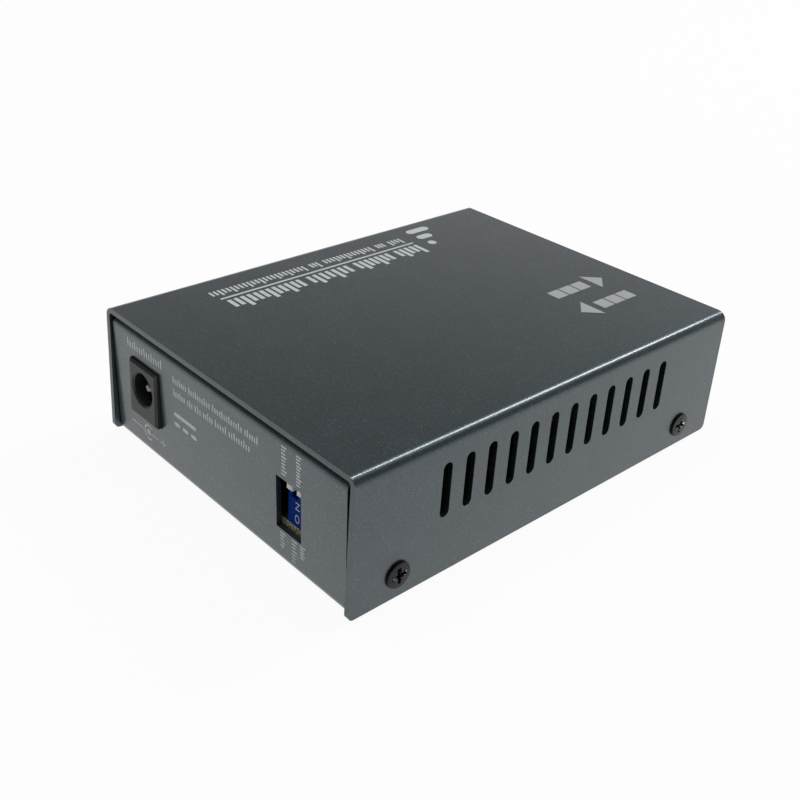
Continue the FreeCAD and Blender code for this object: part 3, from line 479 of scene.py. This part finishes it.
# The cover's print reads from the box's left side: a rising row of three bars, then a large line
# over a rule and a smaller line.
large_letters = {"tall": 4.4, "stroke": 0.92, "pitch": 1.5, "gap": 1.7, "angle": -90}
small_letters = {"tall": 2.5, "stroke": 0.52, "pitch": 0.98, "gap": 1.4, "angle": -90}
rule_length, rule_thick = 49.6, 0.55
rising_foot, rising_thick = 23.6, 2.0
top_print = bmesh.new()
add_words(top_print, on_top, -24.2, 20.7, (6.7, 9.5, 10.4, 17.0), **large_letters)
add_words(top_print, on_top, -28.9, 19.8, (3.4, 2.2, 12.8, 2.2, 22.6), **small_letters)
add_patch(top_print, bar(-25.3, -3.8, rule_length, rule_thick, 90), on_top)
for u, length in ((-23.2, 2.0), (-26.7, 4.1), (-30.1, 6.2)):
    add_patch(top_print, bar(u, rising_foot + length / 2, length, rising_thick, 90), on_top)
new_piece("cover_print", top_print, "housing", cover_ink)


# ---- Two arrows on the cover -------------------------------------------------------------
# The plain mark of a converter, one arrow each way. Each is a row of three square blocks with a
# pointed end, printed in a thinner, duller pass of the same ink.
thin_ink = plain_finish("thin_grey_ink", (0.35, 0.37, 0.36), 0.6, grain=0.2 * mm, shade=0.1)
block = 3.1
block_pitch = block + 0.35
first_block = -1.6 * block_pitch
point_length = 1.15 * block


def add_arrow(shape, u, w, way):
    """An arrow along the box: way is 1 towards the ports and -1 towards the rear."""
    for i in range(3):
        middle = w + way * (first_block + i * block_pitch)
        square = [(x * block / 2, y * block / 2) for x, y in ((-1, -1), (1, -1), (1, 1), (-1, 1))]
        add_patch(shape, turned(square, u, middle, 0), on_top)
    foot = middle + way * (block + block_pitch) / 2
    wings = [(u - way * block, foot), (u + way * block, foot), (u, foot + way * point_length)]
    add_patch(shape, wings, on_top)


arrows_w = 32.0
arrows = bmesh.new()
add_arrow(arrows, 10.3, arrows_w, 1)
add_arrow(arrows, 18.3, arrows_w, -1)
new_piece("cover_arrows", arrows, "housing", thin_ink)


# ---- Power jack --------------------------------------------------------------------------
# A moulded black socket for a 5.5 mm barrel plug, with a turned pin and a sprung leaf inside.
# Both contacts are nickel-plated brass, and the socket is soldered to the board.
black_moulding = plain_finish("black_moulding", (0.011, 0.015, 0.014), 0.5)
# Painted shade: the contacts' nickel is painted much darker than bright nickel, as the shade of the
# deep bore.
nickel_painted_dark = plain_finish("dark_painted_nickel_plate", (0.18, 0.176, 0.165), 0.3, metal=1.0, shade=0.06)
paint("power_jack_housing", black_moulding)
paint("power_jack_pin", nickel_painted_dark)
paint("power_jack_spring", nickel_painted_dark)


# ---- Slide switch ------------------------------------------------------------------------
# A blue moulded block with two ivory sliders, each moved with a pen's tip. Its figures and the
# word ON are pad printed in pale ink on the face, and tinned leads hold it on the board.
blue_moulding = plain_finish("blue_moulding", (0.001, 0.024, 0.19), 0.6, shine=0.05)
ivory = plain_finish("ivory_moulding", (0.68, 0.69, 0.66), 0.42, shade=0.05)
tin = plain_finish("tinned_lead", (0.66, 0.66, 0.65), 0.35, metal=1.0, shade=0.08)
paint("dip_switch_body", blue_moulding)
paint("dip_slider_1", ivory)
paint("dip_slider_2", ivory)
paint("dip_switch_pins", tin)

switch_ink = plain_finish("switch_ink", (0.42, 0.5, 0.62), 0.55)


def add_lettering(name, text, size, u, w, angle, spread=1.0):
    """Generic figures or a word in flat print on the switch's face, read from the rear."""
    curve = bpy.data.curves.new(name, "FONT")
    curve.body, curve.size = text, size * mm
    curve.align_x = curve.align_y = "CENTER"
    word = bpy.data.objects.new(name, curve)
    bpy.context.scene.collection.objects.link(word)
    bpy.context.view_layer.update()
    mesh = bpy.data.meshes.new_from_object(word.evaluated_get(
        bpy.context.evaluated_depsgraph_get()))
    bpy.data.objects.remove(word)
    spot = Vector((u * mm, switch_low.y - ink_lift, w * mm))
    mesh.transform(Matrix.Translation(spot) @ Matrix.Rotation(math.radians(angle), 4, "Y")
                   @ Matrix.Rotation(math.pi / 2, 4, "X") @ Matrix.Scale(spread, 4, (1, 0, 0)))
    shape = bmesh.new()
    shape.from_mesh(mesh)
    return new_piece(name, shape, "housing", switch_ink)


word_size, word_w, word_spread = 1.55, 10.55, 1.42
figure_size = 1.3
figure_w = switch_high.z / mm - 1.0
add_lettering("switch_word", "O N", word_size, switch_u - 0.45, word_w, -90, word_spread)
for number in ("1", "2"):
    slider_u = middle_u("dip_slider_" + number)
    add_lettering("switch_figure_" + number, number, figure_size, slider_u, figure_w, 0)


# ---- Circuit board, its standoffs and screws ---------------------------------------------
# Glass-fibre laminate with green solder mask on both faces; the sawn edges show the bare,
# straw-coloured glass. Zinc-plated standoffs are clinched in the tray, and four screws hold it.
def board_finish():
    """Green mask where the board faces up or down, and bare glass on its sawn edges."""
    material, nodes, links, shader, place = new_material("green_board", 0.0, 0.4)
    mask = add_ramp(nodes, links, add_noise(nodes, links, place, 2.2 * mm, 4),
                    [(0.35, (0.010, 0.060, 0.022)), (0.6, (0.018, 0.095, 0.035))])
    glass = add_ramp(nodes, links, add_noise(nodes, links, place, 0.4 * mm, 4),
                     [(0.36, (0.07, 0.07, 0.03)), (0.52, (0.25, 0.25, 0.14)),
                      (0.66, (0.62, 0.60, 0.48))])
    both = nodes.new("ShaderNodeMix")
    both.data_type = "RGBA"
    links.new(facing(nodes, links, "Z"), both.inputs["Factor"])
    links.new(glass, both.inputs["A"])
    links.new(mask, both.inputs["B"])
    links.new(both.outputs["Result"], shader.inputs["Base Color"])
    add_relief(nodes, links, shader, add_noise(nodes, links, place, 0.4 * mm), 0.01 * mm)
    return material


paint("circuit_board", board_finish())
zinc = plain_finish("zinc_plate", (0.55, 0.56, 0.58), 0.38, metal=1.0, shade=0.08)
paint("board_standoffs", zinc)
paint("board_screws", zinc)


# ---- Front: copper port, fibre slot and lamps --------------------------------------------
# The copper port is a black moulding in a tinned brass shield, with gold-plated spring contacts.
# The fibre slot is a folded and tinned cage with a black edge connector at its back. Four green
# lamps stand in one black holder.
gold = plain_finish("gold_contact", (0.85, 0.62, 0.25), 0.25, metal=1.0, shade=0.05)
paint("copper_port_housing", black_moulding)
paint("copper_port_shield", tin)
paint("copper_port_contacts", gold)
paint("sfp_cage", tin)
paint("sfp_connector", black_moulding)
paint("led_holders", black_moulding)


def lamp_finish():
    """Green tinted clear resin, cloudy inside."""
    material, nodes, links, shader, place = new_material("green_lamp", 0.0, 0.15)
    shader.inputs["Transmission Weight"].default_value = 0.35
    links.new(add_ramp(nodes, links, add_noise(nodes, links, place, 1.2 * mm),
                       [(0.3, (0.10, 0.42, 0.12)), (0.7, (0.16, 0.55, 0.20))]),
              shader.inputs["Base Color"])
    links.new(add_ramp(nodes, links, add_noise(nodes, links, place, 0.5 * mm),
                       [(0.3, 0.12), (0.7, 0.2)]), shader.inputs["Roughness"])
    return material


paint("indicator_leds", lamp_finish())


# ---- Electronics on the board ------------------------------------------------------------
# Chips in black moulded packages, an extruded aluminium sink, wound and ferrite parts, and two
# aluminium cans in black sleeves. All are soldered, and hardly seen through the slots.
epoxy = plain_finish("chip_epoxy", (0.020, 0.020, 0.021), 0.6)
sink_finish = plain_finish("bright_aluminium", (0.58, 0.59, 0.60), 0.35, metal=1.0, shade=0.06)
ferrite = plain_finish("ferrite", (0.055, 0.055, 0.06), 0.7, grain=0.15 * mm, shade=0.25)
ceramic = plain_finish("ceramic", (0.42, 0.33, 0.22), 0.55)
sleeve = plain_finish("black_sleeve", (0.02, 0.02, 0.024), 0.35)
winding = plain_finish("wound_copper", (0.50, 0.20, 0.07), 0.35, metal=0.8, shade=0.2)
can_metal = plain_finish("crystal_can", (0.60, 0.60, 0.60), 0.3, metal=1.0, shade=0.05)
for name in ("converter_chip", "memory_chip", "pse_controller_chip", "lan_transformer",
             "power_transistor"):
    paint(name, epoxy)
paint("chip_heat_sink", sink_finish)
paint("crystal", can_metal)
paint("ceramic_capacitors", ceramic)
paint("input_fuse", ceramic)
paint("filter_capacitors", sleeve)
paint("common_mode_choke", winding)
paint("power_inductor", ferrite)
paint("isolation_transformer_bobbin", black_moulding)
paint("isolation_transformer_core", ferrite)


# ---- Studio ------------------------------------------------------------------------------
# A pale floor and a sky that reads white to the eye. Gloss sees it pale near the horizon, dim
# overhead and to the box's right, and dark beyond the rear panel. A large soft lamp hangs above,
# and a smaller oblong one beyond the front lines the cover's long bend.
def white_rays(nodes, links):
    """1 for rays from the camera, and for those that mirrors and glass send on."""
    path = nodes.new("ShaderNodeLightPath")
    total = path.outputs["Is Camera Ray"]
    for other in ("Is Glossy Ray", "Is Transmission Ray"):
        larger = nodes.new("ShaderNodeMath")
        larger.operation = "MAXIMUM"
        links.new(total, larger.inputs[0])
        links.new(path.outputs[other], larger.inputs[1])
        total = larger.outputs[0]
    return total


floor_half = 3.0
floor_grey = 0.8
floor_glow = 0.94


def make_floor():
    """Matt pale grey for the light that it sends up, and near white to the eye."""
    shape = bmesh.new()
    shape.faces.new([shape.verts.new((x * floor_half, y * floor_half, 0))
                     for x, y in ((-1, -1), (1, -1), (1, 1), (-1, 1))])
    floor = loose("studio_floor", shape)
    material = bpy.data.materials.new("studio_floor")
    material.use_nodes = True
    nodes, links = material.node_tree.nodes, material.node_tree.links
    nodes.remove(nodes["Principled BSDF"])
    matt = nodes.new("ShaderNodeBsdfDiffuse")
    matt.inputs["Color"].default_value = (floor_grey, floor_grey, floor_grey, 1)
    glow = nodes.new("ShaderNodeEmission")
    share = nodes.new("ShaderNodeMath")
    share.operation = "MULTIPLY"
    share.inputs[1].default_value = floor_glow
    links.new(white_rays(nodes, links), share.inputs[0])
    pick = nodes.new("ShaderNodeMixShader")
    links.new(share.outputs[0], pick.inputs["Fac"])
    links.new(matt.outputs[0], pick.inputs[1])
    links.new(glow.outputs[0], pick.inputs[2])
    links.new(pick.outputs[0], nodes["Material Output"].inputs["Surface"])
    floor.data.materials.append(material)


sky_light = 0.3


def make_sky():
    """White to the eye, shaded by direction in gloss, and a dim even grey as a light."""
    world = bpy.data.worlds.new("studio_sky")
    bpy.context.scene.world = world
    world.use_nodes = True
    nodes, links = world.node_tree.nodes, world.node_tree.links
    way = nodes.new("ShaderNodeSeparateXYZ")
    links.new(nodes.new("ShaderNodeTexCoord").outputs["Generated"], way.inputs["Vector"])
    overhead = add_ramp(nodes, links, way.outputs["Z"],
                        [(0.2, 1.0), (0.35, 0.5), (0.5, 0.15), (0.7, 0.09)])
    right = add_ramp(nodes, links, way.outputs["X"], [(0.2, 1.0), (0.6, 0.3)])
    backwards = nodes.new("ShaderNodeMath")
    backwards.operation = "MULTIPLY"
    backwards.inputs[1].default_value = -1
    links.new(way.outputs["Y"], backwards.inputs[0])
    behind = add_ramp(nodes, links, backwards.outputs[0], [(0.15, 1.0), (0.45, 0.16)])
    shaded = multiplied(nodes, links, multiplied(nodes, links, overhead, right), behind)
    pick = nodes.new("ShaderNodeMix")
    pick.data_type = "RGBA"
    pick.inputs["A"].default_value = (sky_light, sky_light, sky_light, 1)
    links.new(white_rays(nodes, links), pick.inputs["Factor"])
    links.new(shaded, pick.inputs["B"])
    eye = nodes.new("ShaderNodeMix")
    eye.data_type = "RGBA"
    eye.inputs["B"].default_value = (1, 1, 1, 1)
    links.new(nodes.new("ShaderNodeLightPath").outputs["Is Camera Ray"], eye.inputs["Factor"])
    links.new(pick.outputs["Result"], eye.inputs["A"])
    links.new(eye.outputs["Result"], nodes["Background"].inputs["Color"])


lamp_aim = Vector((0, 0, 12 * mm))


def add_lamp(name, spot, wide, tall, power):
    """An oblong soft lamp that faces the middle of the box: sizes in metres, power in watts."""
    light = bpy.data.lights.new(name, "AREA")
    light.shape, light.size, light.size_y, light.energy = "RECTANGLE", wide, tall, power
    lamp = bpy.data.objects.new(name, light)
    lamp.location = spot
    lamp.rotation_euler = (lamp_aim - Vector(spot)).to_track_quat("-Z", "Y").to_euler()
    bpy.context.scene.collection.objects.link(lamp)


make_floor()
make_sky()
add_lamp("ceiling_lamp", (-0.2, -0.25, 1.6), 1.2, 1.2, 10.0)
add_lamp("bend_lamp", (0.09, 0.80, 0.90), 0.2, 0.5, 6.2)


# ---- Camera ------------------------------------------------------------------------------
# It stands close to the rear right corner of the box and looks down on it through a 50 mm lens,
# with a small shift that frames the box.
camera_place = Vector((0.13307, -0.13632, 0.11643))
camera_look = Vector((-0.66643, 0.60779, -0.43182)).normalized()
camera_up = Vector((-0.35523, 0.25036, 0.90063))
across = camera_look.cross(camera_up).normalized()
upward = across.cross(camera_look)
stance = Matrix((across, upward, -camera_look)).transposed()

lens = bpy.data.cameras.new("camera")
lens.sensor_width = 36.0
lens.lens = 50.49
lens.shift_x, lens.shift_y = 0.0438, -0.1125
lens.clip_start = 0.005
camera = bpy.data.objects.new("camera", lens)
camera.matrix_world = Matrix.Translation(camera_place) @ stance.to_4x4()
bpy.context.scene.collection.objects.link(camera)
bpy.context.scene.camera = camera
bpy.context.scene.view_settings.view_transform = "Standard"
